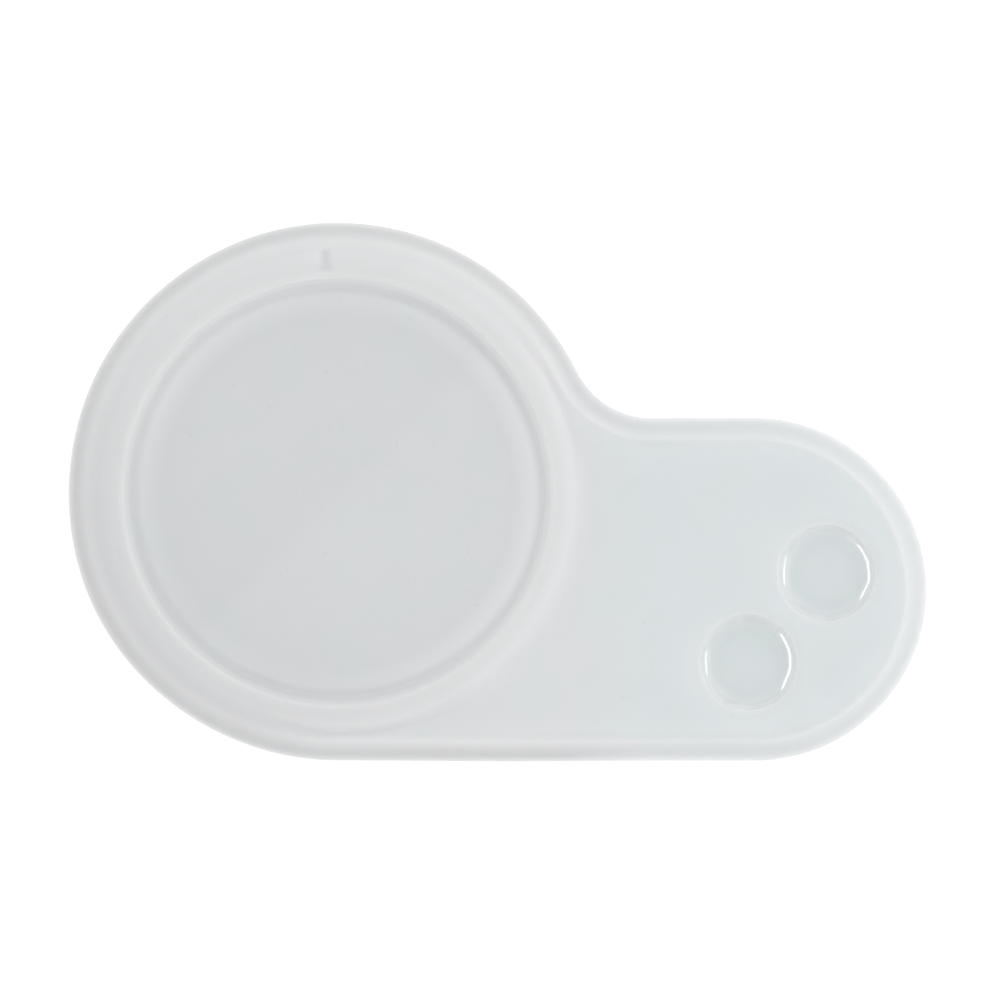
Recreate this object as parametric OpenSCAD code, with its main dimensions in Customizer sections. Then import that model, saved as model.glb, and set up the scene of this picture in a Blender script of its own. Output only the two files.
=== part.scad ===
// Resin casting mould: one soft silicone moulding that lies flat on the table.
// A round end holds a large shallow cavity inside a raised ring.
// A handle-shaped lobe to one side carries a flat deck with two small round pockets.
// The moulding is divided here along its own moulded features, and they meet face to face.
// Origin: middle of the large cavity, on the table. X points along the handle, Z up. Millimetres.

/* [Outline] */
// Radius of the round end at its foot
round_r = 57; // [46:0.1:69]
// From the middle of the round end to the middle of the handle's tip, along X
handle_reach = 88.5; // [73:0.1:107]
// Radius of the handle's rounded tip at its foot
tip_r = 36.3; // [30:0.1:44]
// Radius of the hollow curve that joins the round end to the handle, at its foot
neck_r = 17.6; // [14:0.1:21.5]

/* [Outer wall] */
// Height of the deck above the table
deck_h = 9; // [7.4:0.1:10.9]
// Upright edge at the foot of the outer wall
foot_edge_h = 1; // [0.6:0.1:2]
// Width of the sloping face, seen from above
slope_w = 4.2; // [3.4:0.1:5.2]
// Radius that rounds the top of the slope over to the deck
shoulder_r = 0.9; // [0.6:0.1:1.2]
// Flat land between the rounded shoulder and the inside of the outer wall
land_w = 0.2; // [0.1:0.1:0.6]

/* [Large cavity] */
// Flat ledge between the outer wall and the ring
ledge_w = 0.6; // [0.4:0.1:1.2]
// Width of the ring from its foot on the ledge to the mouth of the cavity
ring_w = 6; // [5:0.1:7.2]
// Height of the ring's crest above the deck
ring_rise = 2.6; // [2:0.1:3.2]
// How far the crest of the ring stands in from the mouth of the cavity
crest_in = 1.2; // [1:0.1:1.6]
// How much narrower the cavity is at its floor than at its mouth, on each side
cavity_draft = 1; // [0.5:0.1:1.5]
// Thickness of the cavity's floor
cavity_floor_t = 2.5; // [2:0.1:3.5]

/* [Pockets] */
// Radius of a pocket at its mouth
pocket_r = 10.2; // [8.5:0.1:12.3]
// How much narrower a pocket is at its floor, on each side
pocket_draft = 0.6; // [0.3:0.1:1]
// Thickness of silicone left under a pocket
pocket_floor_t = 4; // [3:0.1:4.8]
// Thickness of a pocket's side at its mouth
pocket_side_t = 1.2; // [0.8:0.1:1.5]
// Clear deck between the two pockets' sides
pocket_gap = 2.3; // [1:0.1:3]
// Direction from the lower pocket to the upper one, in degrees from X
pocket_lean = 48.7; // [45:0.1:54]
// Clear deck between the lower pocket's side and the handle's long outer wall
lower_clear = 4.6; // [3.6:0.1:5.6]
// Clear deck between the upper pocket's side and the end of the handle, along X
upper_clear = 5; // [4.1:0.1:6]
// Radius in the corner between a pocket's side and its floor
pocket_corner_r = 0.8; // [0.4:0.1:1]

/* [Nick] */
// Width of the shallow nick across the ring's crest
nick_w = 2.2; // [1.5:0.1:3]
// Depth of the nick below the crest
nick_deep = 0.35; // [0.2:0.05:0.5]
// Direction of the nick from the middle of the cavity, in degrees from X
nick_turn = 92.5; // [60:0.5:180]

/* [Hidden] */
$fn = 96;
over = 1;
straight_down = 270;
shoulder_flats = 6;
micron = 0.001;

// Outline: the handle's lower edge is the common tangent of both round ends.
tip_y = tip_r - round_r;
handle_top_y = tip_y + tip_r;
neck_y = handle_top_y + neck_r;
neck_x = sqrt(pow(round_r + neck_r, 2) - pow(neck_y, 2));
neck_turn = atan2(neck_y, neck_x);

// Outer wall section, measured inwards from the foot.
slope_h = deck_h - foot_edge_h;
slope_turn = atan2(slope_h, slope_w);
shoulder_run = shoulder_r * tan(slope_turn / 2);
shoulder_x = slope_w + shoulder_run;
shoulder_z = deck_h - shoulder_r;
// Whole microns, so that the pieces inside the wall meet it exactly.
wall_w = round((shoulder_x + land_w) / micron) * micron;

// Large cavity and its ring, measured from the middle.
ring_out_r = round_r - wall_w - ledge_w;
ring_foot_r = ring_out_r - ledge_w / 2;
mouth_r = ring_foot_r - ring_w;
floor_r = mouth_r - cavity_draft;
crest_r = mouth_r + crest_in;
crest_z = deck_h + ring_rise;
crest_half_w = ring_foot_r - crest_r;
crest_round_r = (pow(crest_half_w, 2) + pow(ring_rise, 2)) / (2 * ring_rise);
cavity_side_slope = cavity_draft / (crest_z - cavity_floor_t);
side_at_deck_r = floor_r + cavity_side_slope * (deck_h - cavity_floor_t);
side_over_r = floor_r + cavity_side_slope * (crest_z + over - cavity_floor_t);

// Pockets: each stands off the inside of the outer wall by its own clearance.
pocket_out_r = pocket_r + pocket_side_t;
pocket_floor_r = pocket_r - pocket_draft;
deck_tip_r = tip_r - wall_w;
pocket_step = 2 * pocket_out_r + pocket_gap;
lower_y = tip_y - deck_tip_r + lower_clear + pocket_out_r;
upper_y = lower_y + pocket_step * sin(pocket_lean);
upper_x = handle_reach + deck_tip_r - upper_clear - pocket_out_r;
lower_x = upper_x - pocket_step * cos(pocket_lean);

silicone = [0.87, 0.885, 0.89];
silicone_thin = [0.83, 0.845, 0.85];

// Section of the outer wall: x runs inwards from the foot, y is height.
// The shoulder between the slope and the deck is rounded in short flats.
module wall_section(width) {
    polygon(concat(
        [[0, 0], [0, foot_edge_h]],
        [
            for (i = [0 : shoulder_flats])
                let (turn = slope_turn * (1 - i / shoulder_flats))
                [shoulder_x - shoulder_r * sin(turn), shoulder_z + shoulder_r * cos(turn)]
        ],
        [[width, deck_h], [width, 0]]
    ));
}

// A stretch of wall that bulges outwards, such as the round end.
module bulging_wall(foot_r, from, sweep, width) {
    rotate([0, 0, from])
        rotate_extrude(angle = sweep)
            translate([foot_r, 0])
                mirror([1, 0])
                    wall_section(width);
}

// A stretch of wall that curves inwards, such as the neck.
module hollow_wall(foot_r, from, sweep, width) {
    rotate([0, 0, from])
        rotate_extrude(angle = sweep)
            translate([foot_r, 0])
                wall_section(width);
}

// A straight stretch of wall along X, its foot on the X axis and its inside towards +Y.
module straight_wall(length, width) {
    rotate([90, 0, 90])
        linear_extrude(height = length)
            wall_section(width);
}

module round_outer_wall() {
    color(silicone)
        bulging_wall(round_r, neck_turn, straight_down - neck_turn, wall_w + ledge_w);
}

module neck_outer_wall() {
    color(silicone)
        translate([neck_x, neck_y, 0])
            hollow_wall(neck_r, neck_turn + 180, 90 - neck_turn, wall_w);
}

module handle_outer_wall() {
    color(silicone)
        union() {
            translate([0, -round_r, 0])
                straight_wall(handle_reach, wall_w);
            translate([handle_reach, tip_y, 0])
                bulging_wall(tip_r, -90, 180, wall_w);
            translate([handle_reach, handle_top_y, 0])
                rotate([0, 0, 180])
                    straight_wall(handle_reach - neck_x, wall_w);
        }
}

// Plan of the flat deck between the outer walls and the ring.
module deck_plan() {
    lower_edge = wall_w - round_r;
    upper_edge = handle_top_y - wall_w;
    union() {
        difference() {
            polygon([
                [0, 0],
                [0, lower_edge],
                [handle_reach, lower_edge],
                [handle_reach, upper_edge],
                [neck_x, upper_edge],
                [neck_x, neck_y]
            ]);
            translate([neck_x, neck_y])
                circle(r = neck_r + wall_w);
            circle(r = ring_out_r);
        }
        translate([handle_reach, tip_y])
            intersection() {
                circle(r = deck_tip_r);
                translate([0, -deck_tip_r - over])
                    square([deck_tip_r + over, 2 * (deck_tip_r + over)]);
            }
    }
}

module handle_deck() {
    color(silicone)
        difference() {
            linear_extrude(height = deck_h)
                deck_plan();
            translate([lower_x, lower_y, -over])
                cylinder(r = pocket_out_r, h = deck_h + 2 * over);
            translate([upper_x, upper_y, -over])
                cylinder(r = pocket_out_r, h = deck_h + 2 * over);
        }
}

// Section of the ring up to the height of the deck, with its drafted side to the cavity.
module ring_section() {
    polygon([
        [floor_r, 0],
        [floor_r, cavity_floor_t],
        [side_at_deck_r, deck_h],
        [ring_out_r, deck_h],
        [ring_out_r, 0]
    ]);
}

// Section of the ring's broad rounded crest, above the deck.
module crest_section() {
    intersection() {
        translate([crest_r, crest_z - crest_round_r])
            circle(r = crest_round_r);
        polygon([
            [side_at_deck_r, deck_h],
            [side_over_r, crest_z + over],
            [ring_out_r + over, crest_z + over],
            [ring_out_r + over, deck_h]
        ]);
    }
}

module cavity_ring() {
    nick_r = nick_w / 2;
    color(silicone)
        difference() {
            union() {
                rotate_extrude()
                    ring_section();
                rotate_extrude()
                    crest_section();
            }
            rotate([0, 0, nick_turn])
                translate([mouth_r - over, 0, crest_z + nick_r - nick_deep])
                    rotate([0, 90, 0])
                        cylinder(r = nick_r, h = ring_w);
        }
}

module cavity_floor() {
    color(silicone_thin)
        cylinder(r = floor_r, h = cavity_floor_t);
}

// One pocket with its floor: a drafted side and a rounded inner corner.
module pocket() {
    side_h = deck_h - pocket_floor_t - pocket_corner_r;
    side_slope = pocket_draft / side_h;
    inner_r = pocket_floor_r - pocket_corner_r;
    difference() {
        cylinder(r = pocket_out_r, h = deck_h);
        translate([0, 0, pocket_floor_t + pocket_corner_r])
            cylinder(r1 = pocket_floor_r, r2 = pocket_r + side_slope * over, h = side_h + over);
        translate([0, 0, pocket_floor_t])
            rotate_extrude() {
                square([inner_r, pocket_corner_r + over / 2]);
                translate([inner_r, pocket_corner_r])
                    intersection() {
                        circle(r = pocket_corner_r);
                        translate([0, -pocket_corner_r - over])
                            square([pocket_corner_r + over, pocket_corner_r + over]);
                    }
            }
    }
}

module lower_pocket() {
    color(silicone_thin)
        translate([lower_x, lower_y, 0])
            pocket();
}

module upper_pocket() {
    color(silicone_thin)
        translate([upper_x, upper_y, 0])
            pocket();
}

round_outer_wall();
neck_outer_wall();
handle_outer_wall();
handle_deck();
cavity_ring();
cavity_floor();
lower_pocket();
upper_pocket();
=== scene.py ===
# Silicone casting mould: one soft moulding with a large round cavity and two small pockets.
import math

import bmesh
import bpy
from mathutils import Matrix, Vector
from mathutils.geometry import delaunay_2d_cdt
from mathutils.kdtree import KDTree


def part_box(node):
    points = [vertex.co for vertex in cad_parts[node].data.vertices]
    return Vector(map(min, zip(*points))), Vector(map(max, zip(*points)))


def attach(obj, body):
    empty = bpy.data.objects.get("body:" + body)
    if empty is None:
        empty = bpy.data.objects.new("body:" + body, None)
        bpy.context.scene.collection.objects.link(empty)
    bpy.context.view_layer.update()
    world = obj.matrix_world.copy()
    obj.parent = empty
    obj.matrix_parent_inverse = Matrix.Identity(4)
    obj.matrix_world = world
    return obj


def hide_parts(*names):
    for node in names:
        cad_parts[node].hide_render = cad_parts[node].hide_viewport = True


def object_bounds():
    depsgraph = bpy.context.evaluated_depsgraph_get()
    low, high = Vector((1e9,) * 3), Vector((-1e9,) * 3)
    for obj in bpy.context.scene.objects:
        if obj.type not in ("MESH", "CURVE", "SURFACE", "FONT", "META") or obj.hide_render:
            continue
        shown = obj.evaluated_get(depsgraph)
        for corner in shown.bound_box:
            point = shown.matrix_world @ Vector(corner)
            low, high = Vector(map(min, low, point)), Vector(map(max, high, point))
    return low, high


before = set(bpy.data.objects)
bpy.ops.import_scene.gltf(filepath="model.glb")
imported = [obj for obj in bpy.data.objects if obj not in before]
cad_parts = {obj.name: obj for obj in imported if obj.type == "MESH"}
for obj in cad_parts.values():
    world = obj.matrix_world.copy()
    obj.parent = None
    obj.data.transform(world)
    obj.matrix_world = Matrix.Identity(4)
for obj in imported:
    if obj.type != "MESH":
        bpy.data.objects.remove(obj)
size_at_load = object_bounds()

MM = 0.001

# ---------------------------------------------------------------- sizes, from the frame

def span(node):
    """The low and high corners of a node's box."""
    low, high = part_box(node)
    return Vector(low), Vector(high)


round_low = span("round_outer_wall")[0]
neck_high = span("neck_outer_wall")[1]
handle_low, handle_high = span("handle_outer_wall")
deck_high = span("handle_deck")[1]
ring_high = span("cavity_ring")[1]
floor_high = span("cavity_floor")[1]

ROUND_R = -round_low.x
TIP_R = (handle_high.y - handle_low.y) / 2
TIP = Vector((handle_high.x - TIP_R, (handle_high.y + handle_low.y) / 2))
DECK_H = deck_high.z
WALL_W = handle_high.x - deck_high.x
HANDLE_TOP_Y = handle_high.y
NECK_X = neck_high.x
NECK_R = (NECK_X ** 2 + HANDLE_TOP_Y ** 2 - ROUND_R ** 2) / (2 * (ROUND_R - HANDLE_TOP_Y))
NECK = Vector((NECK_X, HANDLE_TOP_Y + NECK_R))
NECK_TURN = math.atan2(NECK.y, NECK.x)

RING_OUT_R = ring_high.x
CREST_H = ring_high.z
FLOOR_R = floor_high.x
FLOOR_T = floor_high.z

# Outer wall, from its foot inwards.
SLOPE_W = 4.2 * MM
FOOT_EDGE_H = 1.0 * MM
FOOT_ROUND = 0.35 * MM
SLOPE_ROUND = 0.6 * MM
SHOULDER_ROUND = 1.1 * MM
UNDERSIDE_IN = 1.4 * MM
ROUND_SHOULDER = 5.0 * MM
ROUND_WALL_W = 4.98 * MM
WALL_RUN_ON = 1.0 * MM

# Large cavity and its ring, measured from the middle.
CAVITY_DRAFT = 1.0 * MM
MOUTH_R = FLOOR_R + CAVITY_DRAFT
RING_FOOT_R = RING_OUT_R - 0.3 * MM
CREST_R = MOUTH_R + 1.2 * MM
MOUTH_ROUND = 1.2 * MM
CAVITY_CORNER = 2.6 * MM
CAVITY_FLOOR_R = FLOOR_R - 0.5 * MM
RING_FILLET = 1.6 * MM
RING_FILLET_HANDLE = 5.0 * MM

# Shallow nick across the ring.
NICK_TURN = math.radians(93.0)
NICK_HALF_W = 1.0 * MM
NICK_DEEP = 0.85 * MM
NICK_FLARE = 0.9

# Pockets, all round.
POCKET_SIDE = 1.2 * MM
POCKET_DRAFT = 0.4 * MM
POCKET_FLOOR_Z = 4.0 * MM
POCKET_MOUTH_ROUND = 0.5 * MM
POCKET_CORNER = 2.5 * MM
POCKET_SWAY = 0.09 * MM


def pocket_centre(node):
    """The middle of a pocket in plan, and the radius of its mouth."""
    low, high = span(node)
    return Vector(((low.x + high.x) / 2, (low.y + high.y) / 2)), (high.x - low.x) / 2 - POCKET_SIDE


POCKETS = [pocket_centre("lower_pocket"), pocket_centre("upper_pocket")]

# ---------------------------------------------------------------- camera

VIEW_W = 212.0 * MM
LENS = 600.0
SENSOR = 36.0
VIEW_ASIDE = 0.55 * MM
VIEW_DOWN = 1.7 * MM
CAMERA_REACH = 50
low, high = size_at_load
middle = Vector(((low[0] + high[0]) / 2, (low[1] + high[1]) / 2))
camera_data = bpy.data.cameras.new("overhead_camera")
camera_data.lens = LENS
camera_data.sensor_width = SENSOR
camera_data.clip_end = CAMERA_REACH
camera = bpy.data.objects.new("overhead_camera", camera_data)
bpy.context.scene.collection.objects.link(camera)
camera.location = (
    middle.x + VIEW_ASIDE,
    middle.y - VIEW_DOWN,
    LENS / SENSOR * VIEW_W,
)
bpy.context.scene.camera = camera


# ---------------------------------------------------------------- sections and outlines

def rounded(corners, arc_step=math.radians(12)):
    """A section through these (x, y, radius) corners, each rounded by its own radius."""
    out = []
    for i, (x, y, r) in enumerate(corners):
        here = Vector((x, y))
        if r == 0 or i == 0 or i == len(corners) - 1:
            out.append(here)
            continue
        before = Vector(corners[i - 1][:2]) - here
        after = Vector(corners[i + 1][:2]) - here
        before.normalize()
        after.normalize()
        turn = math.pi - before.angle(after)
        run = r * math.tan(turn / 2)
        centre = here + (before + after).normalized() * (r / math.cos(turn / 2))
        first = here + before * run - centre
        steps = max(2, round(turn / arc_step))
        way = 1 if before.x * after.y - before.y * after.x < 0 else -1
        for s in range(steps + 1):
            a = way * turn * s / steps
            out.append(centre + Vector((
                first.x * math.cos(a) - first.y * math.sin(a),
                first.x * math.sin(a) + first.y * math.cos(a),
            )))
    return out


def arc(centre, r, start, end, pitch):
    """Points round an arc, its last point left off."""
    steps = max(2, round(abs(end - start) * r / pitch))
    turns = [start + (end - start) * i / steps for i in range(steps)]
    return [centre + r * Vector((math.cos(turn), math.sin(turn))) for turn in turns]


def straight(a, b, pitch):
    """Points along a straight line, its last point left off."""
    steps = max(1, round((b - a).length / pitch))
    return [a.lerp(b, i / steps) for i in range(steps)]


def foot_line():
    """The foot of the mould, once round, counter-clockwise."""
    origin = Vector((0, 0))
    line = arc(origin, ROUND_R, NECK_TURN, 1.5 * math.pi, 0.8 * MM)
    line += straight(Vector((0, -ROUND_R)), Vector((TIP.x, -ROUND_R)), 0.9 * MM)
    line += arc(TIP, TIP_R, -0.5 * math.pi, 0.5 * math.pi, 0.7 * MM)
    line += straight(Vector((TIP.x, HANDLE_TOP_Y)), Vector((NECK.x, HANDLE_TOP_Y)), 0.9 * MM)
    line += arc(NECK, NECK_R, 1.5 * math.pi, math.pi + NECK_TURN, 0.4 * MM)
    return line


# ---------------------------------------------------------------- a small writer for node trees

class Value:
    """A socket that carries a number, for writing shader sums as expressions."""

    def __init__(self, tree, socket):
        self.tree = tree
        self.socket = socket

    def _sum(self, operation, *others):
        return self.tree.math(operation, self, *others)

    def __add__(self, other):
        return self._sum("ADD", other)

    __radd__ = __add__

    def __sub__(self, other):
        return self._sum("SUBTRACT", other)

    def __rsub__(self, other):
        return self.tree.math("SUBTRACT", other, self)

    def __mul__(self, other):
        return self._sum("MULTIPLY", other)

    __rmul__ = __mul__

    def __truediv__(self, other):
        return self._sum("DIVIDE", other)


class Tree:
    """Adds nodes to a shader or a geometry tree."""

    def __init__(self, tree):
        self.tree = tree
        tree.nodes.clear()

    def node(self, kind, settings=None, **sockets):
        made = self.tree.nodes.new(kind)
        for name, setting in (settings or {}).items():
            if name == "stops":
                ramp = made.color_ramp.elements
                while len(ramp) < len(setting):
                    ramp.new(0.5)
                for stop, (place, colour) in zip(ramp, setting):
                    stop.position = place
                    stop.color = colour
            else:
                setattr(made, name, setting)
        for name, value in sockets.items():
            key = int(name[1:]) if name[0] == "_" else name.replace("_", " ")
            self.feed(made.inputs[key], value)
        return made

    def feed(self, socket, value):
        if isinstance(value, Value):
            value = value.socket
        if isinstance(value, bpy.types.NodeSocket):
            self.tree.links.new(value, socket)
        else:
            socket.default_value = value

    def math(self, operation, *values):
        made = self.node("ShaderNodeMath", {"operation": operation})
        for socket, value in zip(made.inputs, values):
            self.feed(socket, value)
        return Value(self, made.outputs[0])

    def value(self, socket):
        return Value(self, socket)

    def step(self, value, start, end):
        """0 below start, 1 above end, and a smooth rise between."""
        made = self.node("ShaderNodeMapRange", {"interpolation_type": "SMOOTHSTEP"})
        for name, number in (("Value", value), ("From Min", start), ("From Max", end)):
            self.feed(made.inputs[name], number)
        return Value(self, made.outputs["Result"])

    def noise(self, where, scale, detail=2.0, roughness=0.5):
        made = self.node("ShaderNodeTexNoise", Vector=where, Scale=scale, Detail=detail, Roughness=roughness)
        return Value(self, made.outputs["Fac"])

    def mix(self, amount, a, b, blend="MIX"):
        made = self.node("ShaderNodeMix", {"data_type": "RGBA", "blend_type": blend})
        for socket, value in ((made.inputs[0], amount), (made.inputs[6], a), (made.inputs[7], b)):
            self.feed(socket, value)
        return made.outputs[2]

    def tint(self, amount, colour, by):
        return self.mix(amount, colour, by, "MULTIPLY")


# ---------------------------------------------------------------- the silicone

SILICONE_ROUND = (0.757, 0.760, 0.766, 1)
SILICONE_HANDLE_RIM = (0.757, 0.779, 0.789, 1)
SILICONE_HANDLE_DECK = (0.736, 0.770, 0.778, 1)
SILICONE_CLOUD = (0.792, 0.796, 0.802, 1)
SILICONE_PAINTED_LIGHT = (0.895, 0.900, 0.905, 1)
SILICONE_PAINTED_FAR_SHADE = (0.952, 0.952, 0.954, 1)
SILICONE_GREENISH = (0.728, 0.768, 0.762, 1)
SILICONE_EDGE_SHADE_AND_SPECK = (0.890, 0.890, 0.892, 1)
SILICONE_THIN_AND_SHADED_FLOOR = (0.800, 0.802, 0.803, 1)


# How many waves of each pattern go to a metre.
CLOUD_PITCH = 38.0
SMEAR_PITCH = 90.0
PATCH_PITCH = 105.0
MOTTLE_PITCH = 260.0
WAVE_PITCH = 420.0
SPECK_PITCH = 640.0
GRAIN_PITCH = 2600.0

MATT = 0.62
POLISHED = 0.17


def milky_silicone():
    material = bpy.data.materials.new("milky_silicone")
    material.use_nodes = True
    t = Tree(material.node_tree)
    place = t.node("ShaderNodeTexCoord").outputs["Object"]
    axes = t.node("ShaderNodeSeparateXYZ", Vector=place)
    x, y, z = (t.value(axes.outputs[i]) for i in range(3))

    # The floors of the hollows are greyer, partly as thin silicone and partly as painted shade on the
    # recessed floors; the handle looks a little cooler, most of all its deck.
    rim = t.value(t.node("ShaderNodeAttribute", {"attribute_name": "rim"}).outputs["Fac"])
    thick = t.step(z, FLOOR_T, DECK_H)
    along_handle = t.step(x, RING_OUT_R - 8 * MM, RING_OUT_R + 18 * MM)
    clouds = t.noise(place, CLOUD_PITCH, 3.0, 0.55)
    mottle = t.noise(place, MOTTLE_PITCH, 3.0, 0.6)
    handle = t.mix(rim, SILICONE_HANDLE_DECK, SILICONE_HANDLE_RIM)
    plain = t.mix(along_handle, SILICONE_ROUND, handle)
    patches = t.step(t.noise(place, PATCH_PITCH, 3.0, 0.6), 0.40, 0.66)
    body = t.mix(patches * (1 - rim) * 0.55, plain, SILICONE_GREENISH)
    milk = t.mix(t.step(clouds, 0.35, 0.75) * 0.22 + (mottle - 0.5) * 0.12, body, SILICONE_CLOUD)
    # Painted shade: the round end is darker towards its lower left, on the side away from the lamps, and
    # less so on its floors.
    painted_far_shade = 1 - t.step(x + y * 0.7, -ROUND_R * 1.1, RING_OUT_R * 0.3)
    milk = t.tint(painted_far_shade * (0.35 + thick * 0.65), milk, SILICONE_PAINTED_FAR_SHADE)
    thin_and_shaded_floors = t.tint((1 - thick) * (1 - along_handle * 0.45), milk, SILICONE_THIN_AND_SHADED_FLOOR)

    # Painted light makes steep sides and hollow corners lighter, where they would lie in shade, and painted
    # shade makes rounded edges greyer. A few fine specks are set in.
    side = t.value(t.node("ShaderNodeAttribute", {"attribute_name": "side"}).outputs["Fac"])
    with_painted_light = t.mix(side, thin_and_shaded_floors, SILICONE_PAINTED_LIGHT)
    edge = t.value(t.node("ShaderNodeAttribute", {"attribute_name": "edge"}).outputs["Fac"])
    specks = t.step(t.noise(place, SPECK_PITCH, 1.0, 0.5), 0.74, 0.80)
    colour = t.tint(specks * 0.4, t.tint(edge, with_painted_light, SILICONE_EDGE_SHADE_AND_SPECK), SILICONE_EDGE_SHADE_AND_SPECK)

    # The pins that formed the pockets had polished edges; the rest was formed against a matt tool.
    polish = None
    for centre, r in POCKETS:
        away = t.math("SQRT", (x - centre.x) * (x - centre.x) + (y - centre.y) * (y - centre.y))
        inside = t.step(away, r - 2.4 * MM, r - 1.8 * MM) * (1 - t.step(away, r - 0.1 * MM, r)) * (
            1 - t.step(z, DECK_H - 2.6 * MM, DECK_H - 1.4 * MM)
        )
        polish = inside if polish is None else t.math("MAXIMUM", polish, inside)
    smear = t.noise(place, SMEAR_PITCH, 2.0, 0.5)
    matt = MATT + (smear - 0.5) * 0.16 + (mottle - 0.5) * 0.08
    roughness = matt * (1 - polish) + (POLISHED + (smear - 0.5) * 0.08) * polish

    # A fine matt grain, and slow waves that the polished pockets show in their glints.
    grain = t.noise(place, GRAIN_PITCH, 2.0, 0.6)
    wave = t.noise(place, WAVE_PITCH, 1.0, 0.4)
    height = grain * (1 - polish) * 0.012 + wave * 0.05 + wave * polish * 0.10
    bump = t.node("ShaderNodeBump", Strength=0.55, Distance=1.0 * MM, Height=height)

    shader = t.node(
        "ShaderNodeBsdfPrincipled",
        Base_Color=colour,
        Roughness=roughness,
        Normal=bump.outputs[0],
        IOR=1.41,
        Coat_Weight=polish,
    )
    shader.inputs["Coat Roughness"].default_value = 0.28
    shader.inputs["Coat IOR"].default_value = 1.8
    shader.inputs["Subsurface Weight"].default_value = 1.0
    shader.inputs["Subsurface Radius"].default_value = (1.0, 1.0, 1.0)
    shader.inputs["Subsurface Scale"].default_value = 7.5 * MM
    shader.inputs["Specular IOR Level"].default_value = 0.05
    t.node("ShaderNodeOutputMaterial", Surface=shader.outputs[0])
    return material


silicone = milky_silicone()


# ---------------------------------------------------------------- the moulding

def line_object(name, points, closed):
    """A line of edges as an object, to sweep or to be swept."""
    mesh = bpy.data.meshes.new(name)
    count = len(points)
    edges = [(i, i + 1) for i in range(count - 1)] + ([(count - 1, 0)] if closed else [])
    mesh.from_pydata([tuple(p) for p in points], edges, [])
    made = bpy.data.objects.new(name, mesh)
    bpy.context.scene.collection.objects.link(made)
    return made


def grow(obj, tree, inputs):
    """Runs a geometry tree on obj and gives the plain mesh that comes out."""
    modifier = obj.modifiers.new(tree.name, "NODES")
    modifier.node_group = tree
    for item in tree.interface.items_tree:
        if item.in_out == "INPUT" and item.name in inputs:
            modifier[item.identifier] = inputs[item.name]
    graph = bpy.context.evaluated_depsgraph_get()
    mesh = bpy.data.meshes.new_from_object(obj.evaluated_get(graph))
    obj.modifiers.remove(modifier)
    return mesh


def new_tree(name, *inputs):
    tree = bpy.data.node_groups.new(name, "GeometryNodeTree")
    tree.interface.new_socket("Geometry", in_out="OUTPUT", socket_type="NodeSocketGeometry")
    tree.interface.new_socket("Geometry", in_out="INPUT", socket_type="NodeSocketGeometry")
    for label, kind in inputs:
        tree.interface.new_socket(label, in_out="INPUT", socket_type=kind)
    return tree


def finish_tree(t, geometry, material):
    real = t.node("GeometryNodeRealizeInstances", Geometry=geometry)
    skinned = t.node("GeometryNodeSetMaterial", Geometry=real.outputs[0], Material=material)
    t.node("NodeGroupOutput", Geometry=skinned.outputs[0])


def wall_tree():
    """Sweeps the wall's section round the foot line."""
    tree = new_tree("outer_wall_sweep", ("Section", "NodeSocketObject"), ("Silicone", "NodeSocketMaterial"))
    t = Tree(tree)
    given = t.node("NodeGroupInput")
    path = t.node("GeometryNodeMeshToCurve", Mesh=given.outputs["Geometry"])
    level = t.node("GeometryNodeSetCurveNormal", {"mode": "Z_UP"}, Curve=path.outputs[0])
    held = t.node("GeometryNodeObjectInfo", Object=given.outputs["Section"])
    section = t.node("GeometryNodeMeshToCurve", Mesh=held.outputs["Geometry"])
    swept = t.node("GeometryNodeCurveToMesh", Curve=level.outputs[0], Profile_Curve=section.outputs[0])
    finish_tree(t, swept.outputs[0], given.outputs["Silicone"])
    return tree


def soft_tree():
    """Lets the moulding lie a little out of true, as limp silicone does. Its underside stays flat."""
    tree = new_tree(
        "limp_silicone",
        ("Sideways", "NodeSocketFloat"),
        ("Upwards", "NodeSocketFloat"),
        ("Full Height", "NodeSocketFloat"),
        ("Pitch", "NodeSocketFloat"),
        ("Seed", "NodeSocketFloat"),
        ("Silicone", "NodeSocketMaterial"),
    )
    t = Tree(tree)
    given = t.node("NodeGroupInput")
    place = t.node("GeometryNodeInputPosition").outputs[0]
    height = t.node("ShaderNodeSeparateXYZ", Vector=place).outputs[2]
    raised = t.value(height) / t.value(given.outputs["Full Height"])
    flat_place = t.node("ShaderNodeVectorMath", {"operation": "MULTIPLY"}, _0=place, _1=(1, 1, 0)).outputs[0]
    noise = t.node(
        "ShaderNodeTexNoise",
        {"noise_dimensions": "4D"},
        Vector=flat_place,
        W=given.outputs["Seed"],
        Scale=given.outputs["Pitch"],
        Detail=1.0,
        Roughness=0.4,
    )
    parts = t.node("ShaderNodeSeparateXYZ", Vector=noise.outputs["Color"])
    sideways = t.value(given.outputs["Sideways"])
    upwards = t.value(given.outputs["Upwards"])
    shift = t.node(
        "ShaderNodeCombineXYZ",
        X=(t.value(parts.outputs[0]) - 0.5) * sideways,
        Y=(t.value(parts.outputs[1]) - 0.5) * sideways,
        Z=(t.value(parts.outputs[2]) - 0.5) * upwards * raised,
    )
    moved = t.node("GeometryNodeSetPosition", Geometry=given.outputs["Geometry"], Offset=shift.outputs[0])
    finish_tree(t, moved.outputs[0], given.outputs["Silicone"])
    return tree


CREST_HALF = RING_FOOT_R - CREST_R
CREST_RISE = CREST_H - DECK_H
CREST_ROUND = (CREST_HALF ** 2 + CREST_RISE ** 2) / (2 * CREST_RISE)
CREST_CENTRE = Vector((CREST_R, CREST_H - CREST_ROUND))

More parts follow.
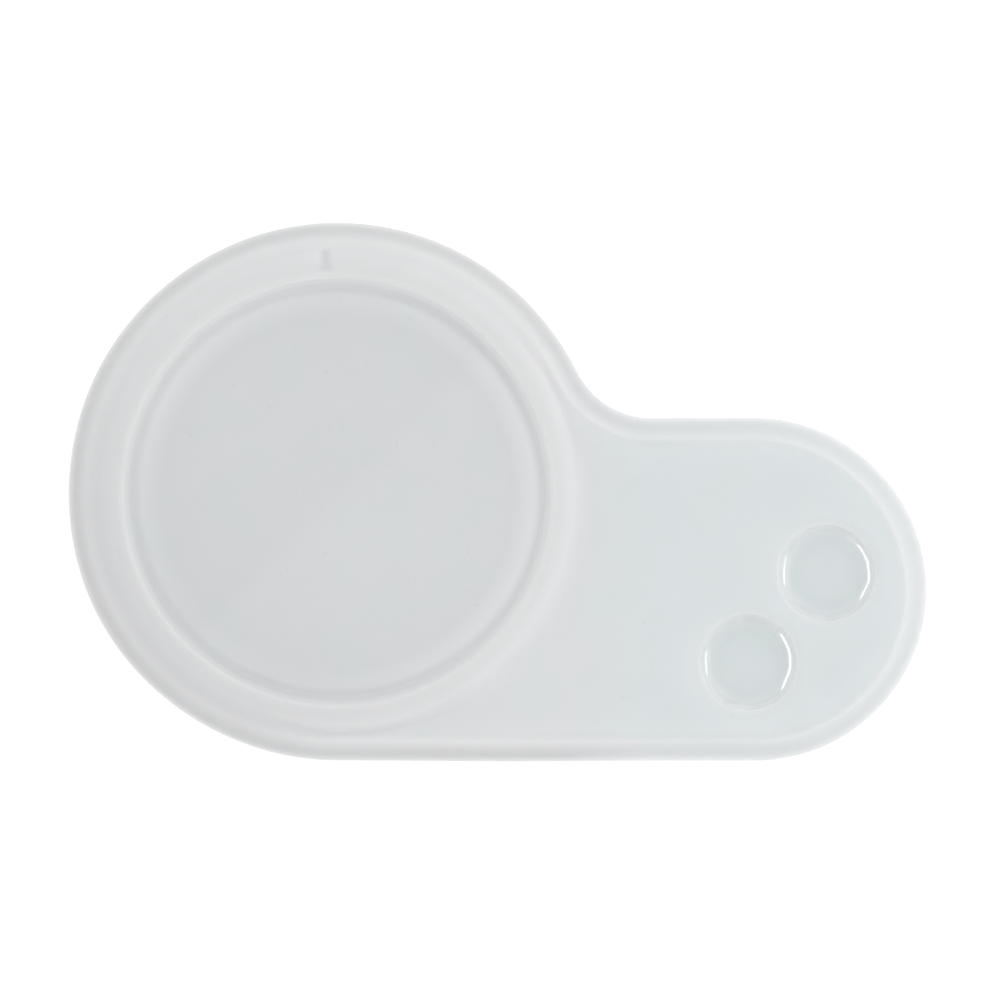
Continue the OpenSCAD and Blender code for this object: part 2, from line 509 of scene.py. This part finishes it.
# On the round end the ring's flank runs straight down to the top of the outer slope.
SLOPE_TOP = Vector((ROUND_R - SLOPE_W, DECK_H))
TO_SLOPE_TOP = SLOPE_TOP - CREST_CENTRE
FLANK_TURN = math.atan2(TO_SLOPE_TOP.y, TO_SLOPE_TOP.x) + math.acos(CREST_ROUND / TO_SLOPE_TOP.length)
FLANK_START = CREST_CENTRE + CREST_ROUND * Vector((math.cos(FLANK_TURN), math.sin(FLANK_TURN)))
FLANK_DROP = (FLANK_START.y - SLOPE_TOP.y) / (SLOPE_TOP.x - FLANK_START.x)


def flank_height(r):
    """Height of the ring's straight outer flank on the round end, this far from the middle."""
    return SLOPE_TOP.y + (SLOPE_TOP.x - r) * FLANK_DROP


def smooth(t):
    """0 below 0, 1 above 1, and a smooth rise between."""
    t = min(1.0, max(0.0, t))
    return t * t * (3 - 2 * t)


STRAIGHT_DOWN = -math.pi / 2
HANDLE_SWING = NECK_TURN - STRAIGHT_DOWN
ROUND_BLEND = math.radians(24)


def swing_from_below(turn):
    """How far round this direction lies from straight down, counter-clockwise."""
    return (turn - STRAIGHT_DOWN) % (2 * math.pi)


def round_share(turn):
    """1 round the back of the round end, falling to 0 where it meets the handle."""
    swing = swing_from_below(turn)
    if swing <= HANDLE_SWING:
        return 0.0
    return min(smooth((swing - HANDLE_SWING) / ROUND_BLEND), smooth((2 * math.pi - swing) / ROUND_BLEND))


def outer_wall_mesh():
    """The swept outer wall, with its section running from the underside up to the deck."""
    low_part = [(UNDERSIDE_IN, 0, 0), (0, 0, FOOT_ROUND), (0, FOOT_EDGE_H, SLOPE_ROUND)]
    section = rounded(low_part + [(SLOPE_W, DECK_H, SHOULDER_ROUND), (WALL_W, DECK_H, 0)])
    at_end = rounded(low_part + [
        (SLOPE_W, DECK_H, ROUND_SHOULDER),
        (ROUND_WALL_W + WALL_RUN_ON, flank_height(ROUND_R - ROUND_WALL_W - WALL_RUN_ON), 0),
    ])
    shoulder_first = len(rounded(low_part + [(SLOPE_W, DECK_H, 0)])) - 1
    shoulder_points = len(section) - shoulder_first
    first = at_end[shoulder_first]
    last = Vector((ROUND_WALL_W, flank_height(ROUND_R - ROUND_WALL_W)))
    round_section = section[:shoulder_first]
    for i in range(shoulder_points):
        share = i / (shoulder_points - 1)
        round_section.append(along(at_end[shoulder_first:], first, last, share))
    path = line_object("foot_line", [(p.x, p.y, 0) for p in foot_line()], True)
    held = line_object("wall_section", [(-p.x, -p.y, 0) for p in section], False)
    mesh = grow(path, wall_tree(), {"Section": held, "Silicone": silicone})
    count = len(section)
    points = [v.co.copy() for v in mesh.vertices]
    for start in range(0, len(points), count):
        foot, top = points[start], points[start + count - 1]
        inwards = Vector((top.x - foot.x, top.y - foot.y)).normalized()
        edge = Vector((foot.x, foot.y)) - inwards * UNDERSIDE_IN
        on_round_end = abs(edge.length - ROUND_R) < 0.05 * MM
        share = round_share(math.atan2(edge.y, edge.x)) if on_round_end else 0.0
        for j in range(count):
            here = section[j].lerp(round_section[j], share)
            at = edge + inwards * here.x
            points[start + j] = Vector((at.x, at.y, here.y))
            mesh.vertices[start + j].co = points[start + j]
    inner = points[count - 1::count]
    under = points[0::count]
    for made in (path, held):
        bpy.data.objects.remove(made)
    return mesh, inner, under


def along(line, first, last, share):
    """A point this share of the way, by x, along a line that ends early at last."""
    x = first.x + (last.x - first.x) * share
    for a, b in zip(line, line[1:]):
        if x <= b.x:
            return a.lerp(b, (x - a.x) / (b.x - a.x))
    return last


def ring_fillet(turn):
    """The ring's foot is tight against the outer wall, and broad where it runs out on the handle's deck."""
    swing = swing_from_below(turn)
    if swing >= HANDLE_SWING:
        return RING_FILLET
    rise = smooth((swing - math.radians(6)) / math.radians(28))
    fall = smooth((HANDLE_SWING - swing - math.radians(4)) / math.radians(20))
    return RING_FILLET + (RING_FILLET_HANDLE - RING_FILLET) * min(rise, fall)


def flank_points(f, steps_out, steps_over, end):
    """From the foot of a fillet of radius f on the deck up over the crest to this turn."""
    up = DECK_H + f - CREST_CENTRE.y
    centre = Vector((CREST_R + math.sqrt((CREST_ROUND + f) ** 2 - up ** 2), DECK_H + f))
    lean = math.atan2(centre.y - CREST_CENTRE.y, centre.x - CREST_CENTRE.x)
    points = []
    for i in range(steps_out + 1):
        a = -math.pi / 2 - (math.pi / 2 - lean) * i / steps_out
        points.append(centre + f * Vector((math.cos(a), math.sin(a))))
    for i in range(1, steps_over + 1):
        a = lean + (end - lean) * i / steps_over
        points.append(CREST_CENTRE + CREST_ROUND * Vector((math.cos(a), math.sin(a))))
    return points


def straight_flank_points(steps_out, steps_over, end):
    """From the top of the round end's wall straight up the flank, then over the crest to this turn."""
    r = ROUND_R - ROUND_WALL_W - 0.06 * MM
    start = Vector((r, flank_height(r)))
    points = [start.lerp(FLANK_START, i / steps_out) for i in range(steps_out + 1)]
    for i in range(1, steps_over + 1):
        a = FLANK_TURN + (end - FLANK_TURN) * i / steps_over
        points.append(CREST_CENTRE + CREST_ROUND * Vector((math.cos(a), math.sin(a))))
    return points


def ring_section(turn):
    """(r, z) from the ring's foot on the deck, over the crest, down the side and across to the middle."""
    mouth_z = CREST_CENTRE.y + math.sqrt(CREST_ROUND ** 2 - (MOUTH_R - CREST_R) ** 2)
    mouth = Vector((MOUTH_R, mouth_z))
    tangent = Vector((mouth.y - CREST_CENTRE.y, -(mouth.x - CREST_CENTRE.x))).normalized()
    run = MOUTH_ROUND * 0.9
    end = math.atan2(mouth.y - CREST_CENTRE.y, mouth.x - CREST_CENTRE.x) - run / CREST_ROUND
    points = flank_points(ring_fillet(turn), 10, 20, end)
    share = round_share(turn)
    if share > 0:
        points = [p.lerp(q, share) for p, q in zip(points, straight_flank_points(10, 20, end))]
    corner = rounded([
        (*(mouth + tangent * run * 1.2), 0),
        (*mouth, MOUTH_ROUND),
        (CAVITY_FLOOR_R, FLOOR_T, CAVITY_CORNER),
        (CAVITY_FLOOR_R - 4 * CAVITY_CORNER, FLOOR_T, 0),
    ], math.radians(10))
    half = (CREST_H + FLOOR_T) / 2
    mouth_part = [p for p in corner[1:-1] if p.y > half]
    floor_part = [p for p in corner[1:-1] if p.y <= half]
    side = [mouth_part[-1].lerp(floor_part[0], i / 6) for i in range(1, 6)]
    points += mouth_part + side + floor_part
    r = floor_part[-1].x
    rings = 20
    points += [Vector((r * (1 - i / rings), FLOOR_T)) for i in range(1, rings)]
    return points


def nick_drop(turn, r):
    """How far the nick lowers the crest here."""
    off = (turn - NICK_TURN + math.pi) % (2 * math.pi) - math.pi
    half_w = NICK_HALF_W * (1 + NICK_FLARE * smooth((RING_OUT_R - r) / (RING_OUT_R - MOUTH_R)))
    across = off * r / half_w
    inner_end = smooth((r - MOUTH_R - 0.9 * MM) / (1.2 * MM))
    outer_end = smooth((RING_OUT_R + 0.2 * MM - r) / (1.0 * MM))
    return NICK_DEEP * math.exp(-across * across) * (inner_end * outer_end)


def polar_cap(surface, centre, turns, section_at, drop=None):
    """Adds a round feature as a polar sheet, and gives back its outer loop."""
    rows = []
    for turn in turns:
        away = Vector((math.cos(turn), math.sin(turn)))
        row = []
        for p in section_at(turn):
            at = centre + away * p.x
            z = p.y - (drop(turn, p.x) if drop and p.y > DECK_H else 0)
            row.append(surface.verts.new((at.x, at.y, z)))
        rows.append(row)
    count = len(rows[0])
    for i, row in enumerate(rows):
        after = rows[(i + 1) % len(rows)]
        for j in range(count - 1):
            surface.faces.new((row[j], after[j], after[j + 1], row[j + 1]))
    middle_z = rows[0][-1].co.z
    pole = surface.verts.new((centre.x, centre.y, middle_z))
    for i, row in enumerate(rows):
        surface.faces.new((row[-1], rows[(i + 1) % len(rows)][-1], pole))
    return [row[0].co.copy() for row in rows]


def pocket_section(r):
    """(r, z) from the deck round a pocket's mouth, down its side and across to its middle."""
    floor_r = r - POCKET_DRAFT
    corners = rounded([
        (r + 2.0 * MM, DECK_H, 0),
        (r, DECK_H, POCKET_MOUTH_ROUND),
        (floor_r, POCKET_FLOOR_Z, POCKET_CORNER),
        (0, POCKET_FLOOR_Z, 0),
    ], math.radians(9))
    corners = corners[1:-1]
    half = (DECK_H + POCKET_FLOOR_Z) / 2
    top = [p for p in corners if p.y > half]
    bottom = [p for p in corners if p.y <= half]
    side = [top[-1].lerp(bottom[0], i / 4) for i in range(1, 4)]
    land = [Vector((top[0].x + (2 - i) * 0.3 * MM, DECK_H)) for i in range(2)]
    rings = 8
    middle = [Vector((bottom[-1].x * (1 - i / rings), POCKET_FLOOR_Z)) for i in range(1, rings)]
    return land + top + side + bottom + middle


def wobbly(section, number):
    """The pocket's section at each turn: the soft side sags in and out a little below its mouth."""
    mouth = section[0].x

    def at(turn):
        sway = math.sin(5 * turn + number) + 0.7 * math.sin(9 * turn + 2 + number)
        sway += 0.5 * math.sin(14 * turn + 4)
        points = []
        for p in section:
            depth = smooth((DECK_H - 0.4 * MM - p.y) / (1.5 * MM)) * smooth((p.x / mouth - 0.5) / 0.2)
            points.append(Vector((p.x + sway * POCKET_SWAY * depth, p.y)))
        return points

    return at


def fill_flat(surface, loops, keep, z, pitch, clear):
    """Fills the flat between these loops, with a loose grid of points inside so that it can bend."""
    points, edges, heights = [], [], []
    for loop in loops:
        first = len(points)
        points += [Vector((p.x, p.y)) for p in loop]
        heights += [p.z for p in loop]
        edges += [(first + i, first + (i + 1) % len(loop)) for i in range(len(loop))]
    xs = [p.x for p in points]
    ys = [p.y for p in points]
    row = 0
    y = min(ys) + pitch / 2
    while y < max(ys):
        x = min(xs) + pitch / 2 * (1 + row % 2)
        while x < max(xs):
            here = Vector((x, y))
            if keep(here, clear):
                points.append(here)
            x += pitch
        y += pitch * 0.866
        row += 1
    found, _, faces, came_from, *_ = delaunay_2d_cdt(points, edges, [], 0, 1e-9)
    verts = {}
    for face in faces:
        centre = sum((found[i] for i in face), Vector((0, 0))) / len(face)
        if not keep(centre, 0):
            continue
        for i in face:
            if i not in verts:
                loop_point = came_from[i][0] if came_from[i] else len(heights)
                height = heights[loop_point] if loop_point < len(heights) else z
                verts[i] = surface.verts.new((found[i].x, found[i].y, height))
        surface.faces.new([verts[i] for i in face])


def in_loop(p, loop):
    """Whether a point in plan lies inside a closed loop."""
    inside = False
    j = len(loop) - 1
    for i in range(len(loop)):
        a, b = loop[i], loop[j]
        if (a.y > p.y) != (b.y > p.y) and p.x < (b.x - a.x) * (p.y - a.y) / (b.y - a.y) + a.x:
            inside = not inside
        j = i
    return inside


def distance_to_loop(p, loop):
    """Roughly how far a point in plan lies from a loop."""
    return min((Vector((q.x, q.y)) - p).length for q in loop[::3])


# How strong the painted light (lighter) and the painted shade (greyer) are at their most, for each feature.
PAINTED_LIGHT_FOOT = 0.42
PAINTED_LIGHT_FLANK = 0.16
PAINTED_LIGHT_CORNER = 0.36
PAINTED_LIGHT_SIDE = 0.80
PAINTED_LIGHT_POCKET_CORNER = 0.28
PAINTED_SHADE_MOUTH = 0.38
PAINTED_SHADE_CREST = 0.40
PAINTED_SHADE_POCKET = 0.25

# Directions from the middle in which the painted shade on the round end is strongest, and the painted light
# on the ring's flank.
FAR_TURN = math.radians(215)
NEAR_TURN = math.radians(-40)


def bell(x, middle, spread):
    """1 at the middle, falling smoothly to 0 a spread away on either side."""
    return smooth(1 - abs(x - middle) / spread)


def far_share(p):
    """1 on the part of the round end that lies farthest from the handle's tip, 0 on the near half."""
    return max(0.0, math.cos(math.atan2(p.y, p.x) - FAR_TURN))


def hollow_side(p, lean, bottom, top):
    """1 on the upper part of a hollow's steep side, less towards its floor and where it levels out."""
    if p.z < bottom:
        return 0.0
    climb = min(1.0, (p.z - bottom) / (0.45 * (top - bottom)))
    return climb ** 0.5 * smooth(lean / (0.2 + 0.5 * climb))


def painted_light_share(p, lean, inset):
    """How much painted light lightens the silicone: most on the hollows' steep sides and corners, which
    would lie in shade, and on the foot and the ring's near flank.
    """
    from_middle = math.hypot(p.x, p.y)
    turn = math.atan2(p.y, p.x)
    off_handle = 1 - smooth(p.x / NECK.x)
    nearness = max(0.0, math.cos(turn - NEAR_TURN))
    foot = PAINTED_LIGHT_FOOT * bell(inset, 1.8 * MM, 1.9 * MM) * off_handle * (1 - 0.4 * far_share(p))
    flank = PAINTED_LIGHT_FLANK * bell(from_middle, MOUTH_R + 6.0 * MM, 4.5 * MM) * nearness
    corner = PAINTED_LIGHT_CORNER * bell(from_middle, CAVITY_FLOOR_R - 1.7 * MM, 4.6 * MM)
    corner *= (0.5 + 0.5 * math.cos(turn) ** 2) * (1 - 0.6 * far_share(p))
    share = max(foot, flank, corner)
    if from_middle < MOUTH_R + MOUTH_ROUND:
        steep = PAINTED_LIGHT_SIDE * hollow_side(p, lean, FLOOR_T, CREST_H)
        share = max(share, steep * (1 - 0.40 * far_share(p)))
    for centre, r in POCKETS:
        away = math.hypot(p.x - centre.x, p.y - centre.y)
        share = max(share, PAINTED_LIGHT_POCKET_CORNER * bell(away, r - 1.5 * MM, 2.1 * MM))
        if away < r + POCKET_MOUTH_ROUND:
            share = max(share, PAINTED_LIGHT_SIDE * hollow_side(p, lean, POCKET_FLOOR_Z, DECK_H))
    return share


def painted_shade_share(p, inset):
    """How much painted shade greys the silicone: most along rounded edges, which light leaving by both sides
    would otherwise make bright, and on the far side of the ring's crest.
    """
    if p.z < 0.5 * DECK_H:
        return 0.0
    from_middle = math.hypot(p.x, p.y)
    shoulder = bell(inset, 4.6 * MM, 2.8 * MM) * (0.22 + 0.34 * smooth(p.x / NECK.x))
    mouth = PAINTED_SHADE_MOUTH * bell(from_middle, MOUTH_R + 1.8 * MM, 3.4 * MM)
    crest = PAINTED_SHADE_CREST * far_share(p) * bell(from_middle, MOUTH_R + 6.5 * MM, 5.0 * MM)
    share = max(shoulder, mouth, crest)
    for centre, r in POCKETS:
        away = math.hypot(p.x - centre.x, p.y - centre.y)
        share = max(share, PAINTED_SHADE_POCKET * bell(away, r + 0.9 * MM, 2.0 * MM))
    return share


def make_mould():
    wall, deck_loop, under_loop = outer_wall_mesh()
    surface = bmesh.new()
    surface.from_mesh(wall)
    bpy.data.meshes.remove(wall)
    rim = surface.verts.layers.float.new("rim")
    for vert in surface.verts:
        vert[rim] = 1.0

    near_nick = [NICK_TURN + math.radians(d * 0.25) for d in range(-12, 13)]
    turns = [2 * math.pi * i / 420 for i in range(420)]
    turns = [t for t in turns if abs(t - NICK_TURN) > math.radians(3.3)] + near_nick
    turns.sort()
    ring_loop = polar_cap(surface, Vector((0, 0)), turns, ring_section, nick_drop)
    for vert in surface.verts:
        if vert.co.z > DECK_H:
            vert[rim] = 1.0

    pocket_loops = []
    for number, (centre, r) in enumerate(POCKETS):
        around = [2 * math.pi * i / 144 for i in range(144)]
        pocket_loops.append(polar_cap(surface, centre, around, wobbly(pocket_section(r), number)))

    holes = [ring_loop] + pocket_loops

    def on_deck(p, clear):
        if not in_loop(p, deck_loop) or any(in_loop(p, hole) for hole in holes):
            return False
        return clear == 0 or min(distance_to_loop(p, loop) for loop in [deck_loop] + holes) > clear

    def on_underside(p, clear):
        return in_loop(p, under_loop) and (clear == 0 or distance_to_loop(p, under_loop) > clear)

    fill_flat(surface, [deck_loop] + holes, on_deck, DECK_H, 1.5 * MM, 0.9 * MM)
    fill_flat(surface, [under_loop], on_underside, 0.0, 4.0 * MM, 2.5 * MM)

    bmesh.ops.remove_doubles(surface, verts=surface.verts, dist=0.004 * MM)
    bmesh.ops.recalc_face_normals(surface, faces=surface.faces)
    for face in surface.faces:
        face.smooth = True

    # Per-point painted light ("side") and painted shade ("edge"), read by the silicone's colour.
    side = surface.verts.layers.float.new("side")
    edge = surface.verts.layers.float.new("edge")
    foot = foot_line()
    nearest = KDTree(len(foot))
    for i, p in enumerate(foot):
        nearest.insert((p.x, p.y, 0), i)
    nearest.balance()
    surface.normal_update()
    for vert in surface.verts:
        inset = nearest.find((vert.co.x, vert.co.y, 0))[2]
        vert[side] = painted_light_share(vert.co, 1 - abs(vert.normal.z), inset)
        vert[edge] = painted_shade_share(vert.co, inset)

    mesh = bpy.data.meshes.new("mould_body")
    surface.to_mesh(mesh)
    surface.free()
    rough_shape = bpy.data.objects.new("rough_shape", mesh)
    bpy.context.scene.collection.objects.link(rough_shape)
    finished = grow(rough_shape, soft_tree(), {
        "Sideways": 1.1 * MM,
        "Upwards": 0.5 * MM,
        "Full Height": DECK_H,
        "Pitch": 14.0,
        "Seed": 3.0,
        "Silicone": silicone,
    })
    bpy.data.objects.remove(rough_shape)
    finished.name = "mould_body"
    mould = bpy.data.objects.new("mould_body", finished)
    bpy.context.scene.collection.objects.link(mould)
    return mould


mould = make_mould()
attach(mould, "root")
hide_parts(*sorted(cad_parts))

# ---------------------------------------------------------------- floor and light

WORKTOP_HALF_W = 6.0
WORKTOP_GAP = 0.2 * MM
SKY_STRENGTH = 0.74


def pale_floor():
    material = bpy.data.materials.new("pale_floor")
    material.use_nodes = True
    t = Tree(material.node_tree)
    shader = t.node(
        "ShaderNodeBsdfPrincipled",
        Base_Color=(0.40, 0.40, 0.40, 1),
        Roughness=0.9,
    )
    shader.inputs["Specular IOR Level"].default_value = 0.0
    shader.inputs["Emission Color"].default_value = (1, 1, 1, 1)
    shader.inputs["Emission Strength"].default_value = 0.75
    t.node("ShaderNodeOutputMaterial", Surface=shader.outputs[0])
    return material


def lay_floor():
    mesh = bpy.data.meshes.new("worktop")
    half = WORKTOP_HALF_W
    drop = -WORKTOP_GAP
    mesh.from_pydata(
        [(-half, -half, drop), (half, -half, drop), (half, half, drop), (-half, half, drop)],
        [],
        [(0, 1, 2, 3)],
    )
    mesh.materials.append(pale_floor())
    made = bpy.data.objects.new("worktop", mesh)
    bpy.context.scene.collection.objects.link(made)
    return made


def softbox(name, place, aim, width, height, power, glint_only=False):
    """An area light; a glint-only one shows in polished silicone and lights nothing else."""
    data = bpy.data.lights.new(name, "AREA")
    data.shape = "RECTANGLE"
    data.size = width
    data.size_y = height
    data.energy = power
    made = bpy.data.objects.new(name, data)
    bpy.context.scene.collection.objects.link(made)
    made.location = place
    made.rotation_euler = (Vector(aim) - Vector(place)).to_track_quat("-Z", "Y").to_euler()
    made.visible_diffuse = not glint_only
    return made


lay_floor()
world = bpy.data.worlds.new("studio")
world.use_nodes = True
world.node_tree.nodes["Background"].inputs[0].default_value = (1, 1, 1, 1)
world.node_tree.nodes["Background"].inputs[1].default_value = SKY_STRENGTH
bpy.context.scene.world = world

mould_middle = (middle.x, middle.y, 0)
handle_tip = (TIP.x, TIP.y, 0)
softbox(
    "high_softbox", (middle.x + 0.90, middle.y + 0.50, 4.0), mould_middle,
    width=1.6, height=1.6, power=28.0,
)
softbox(
    "near_softbox", (TIP.x + 0.15, TIP.y, 0.26), handle_tip,
    width=0.12, height=0.12, power=0.075,
)
softbox(
    "strip_left", (TIP.x - 0.50, TIP.y - 0.06, 0.18), handle_tip,
    width=0.80, height=0.06, power=4.6, glint_only=True,
)
softbox(
    "strip_right", (TIP.x + 0.50, TIP.y, 0.12), handle_tip,
    width=0.30, height=0.06, power=1.8, glint_only=True,
)

bpy.context.scene.view_settings.view_transform = "Standard"
bpy.context.scene.view_settings.look = "None"
bpy.context.scene.view_settings.exposure = 0.0
